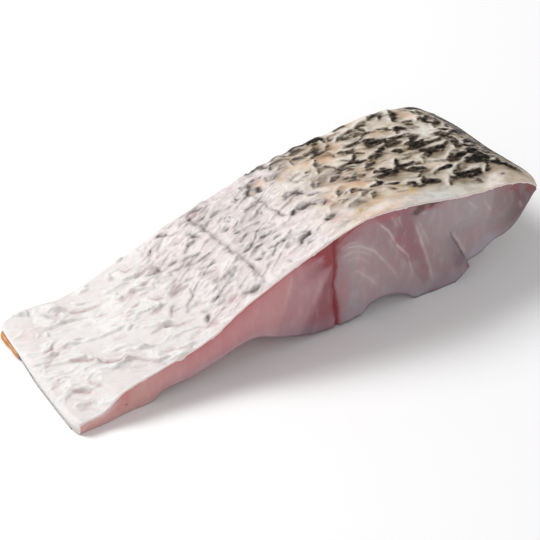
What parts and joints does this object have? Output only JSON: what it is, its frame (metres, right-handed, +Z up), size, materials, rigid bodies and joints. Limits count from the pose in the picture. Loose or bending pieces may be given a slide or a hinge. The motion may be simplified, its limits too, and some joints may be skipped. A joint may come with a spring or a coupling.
{
  "type": "raw fish fillet portion",
  "caption": "Raw barramundi fillet portion, skin side up: pale scaled skin over a thick translucent pink cut face that thins to the belly end.",
  "frame": {"origin": "middle of the portion's bounding box, on the plane it rests on", "axes": "+X from the thin belly end to the thick back of the fish, +Y from the front cut face to the rear one, +Z up through the skin"},
  "size_m": [0.1721, 0.0546, 0.0418],
  "materials": {
    "skin": "wet raw fish skin, cream with dark scale edges towards the back",
    "flesh": "moist translucent raw white fish flesh, pink",
    "fat": "moist yellow-orange belly fat"
  },
  "bodies": {
    "root": {"skin": "skin", "flesh": "flesh", "belly_fat": "fat"}
  },
  "joints": []
}
